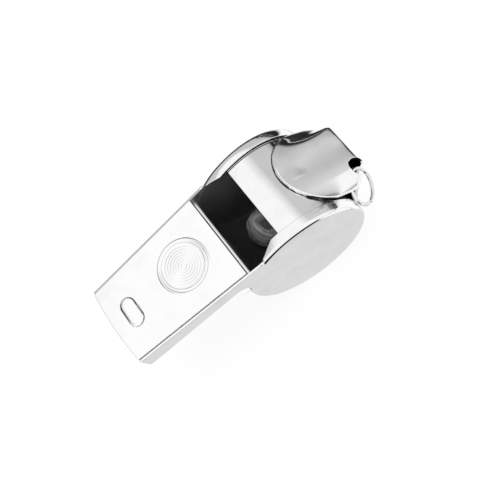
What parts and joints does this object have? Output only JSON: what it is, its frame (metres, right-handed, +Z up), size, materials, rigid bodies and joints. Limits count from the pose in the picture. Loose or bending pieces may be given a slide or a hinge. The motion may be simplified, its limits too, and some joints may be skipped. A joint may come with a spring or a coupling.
{
  "type": "sports whistle",
  "caption": "Pressed-metal pea whistle: round barrel between flat side caps, flat mouthpiece, top sound window, loose pea, and a rear hood with a wire ring for a lanyard.",
  "frame": {"origin": "on the barrel's axis, midway between the two side caps, where finger and thumb grip", "axes": "+X along the whistle away from the mouth, +Y across it to the left cap, +Z up through the sound window"},
  "size_m": [0.0522, 0.0208, 0.0244],
  "materials": {
    "plated_steel": "polished",
    "ring_wire": "polished",
    "cork": "matt"
  },
  "bodies": {
    "shell": {"barrel_strip": "plated_steel", "side_cap_left": "plated_steel", "side_cap_right": "plated_steel", "mouthpiece_top": "plated_steel", "windway_ramp": "plated_steel", "lanyard_saddle": "plated_steel"},
    "ring": {"lanyard_ring": "ring_wire"},
    "pea": {"pea": "cork"}
  },
  "joints": [
    {"name": "ring_swing", "type": "hinge", "parent": "shell", "child": "ring", "pos_m": [0.01269, -0.00775, 0.00283], "axis": [-0.669, -0.5664, 0.4813], "range_deg": [0, 80]},
    {"name": "pea_roll", "type": "hinge", "parent": "shell", "child": "pea", "pos_m": [0, 0, 0], "axis": [0, 1, 0], "continuous": true}
  ]
}
